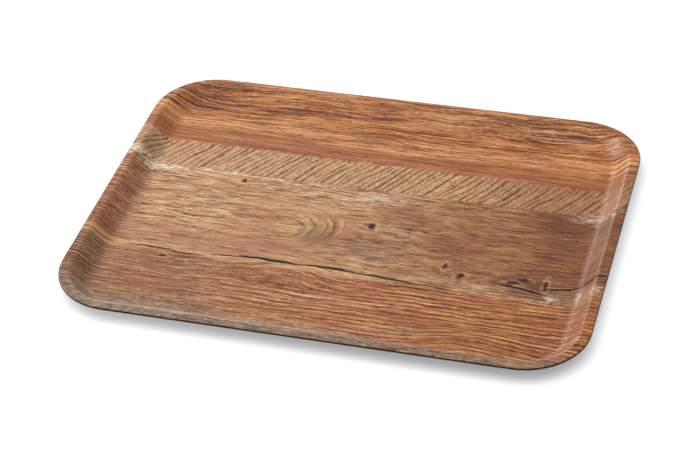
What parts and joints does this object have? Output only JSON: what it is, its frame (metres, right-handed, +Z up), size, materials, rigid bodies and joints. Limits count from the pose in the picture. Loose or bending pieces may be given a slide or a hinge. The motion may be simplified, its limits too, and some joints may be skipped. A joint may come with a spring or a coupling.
{
  "type": "serving tray",
  "caption": "Rounded rectangular serving tray of pressed paper laminate, with a level rim, sloping walls, a flat floor and a reclaimed-plank wood print.",
  "frame": {"origin": "centre of the tray's underside, on the surface it stands on", "axes": "+X along the tray's length, +Y across its width, +Z up out of the well"},
  "size_m": [0.43, 0.327, 0.015],
  "materials": {
    "clear_overlay": "satin",
    "printed_decor": "satin",
    "kraft_core": "matte",
    "dark_backing": "satin"
  },
  "bodies": {
    "root": {"top_overlay": "clear_overlay", "decor_sheet": "printed_decor", "core_sheet_1": "kraft_core", "core_sheet_2": "kraft_core", "core_sheet_3": "kraft_core", "core_sheet_4": "kraft_core", "core_sheet_5": "kraft_core", "core_sheet_6": "kraft_core", "core_sheet_7": "kraft_core", "core_sheet_8": "kraft_core", "core_sheet_9": "kraft_core", "backing_sheet": "dark_backing"}
  },
  "joints": []
}
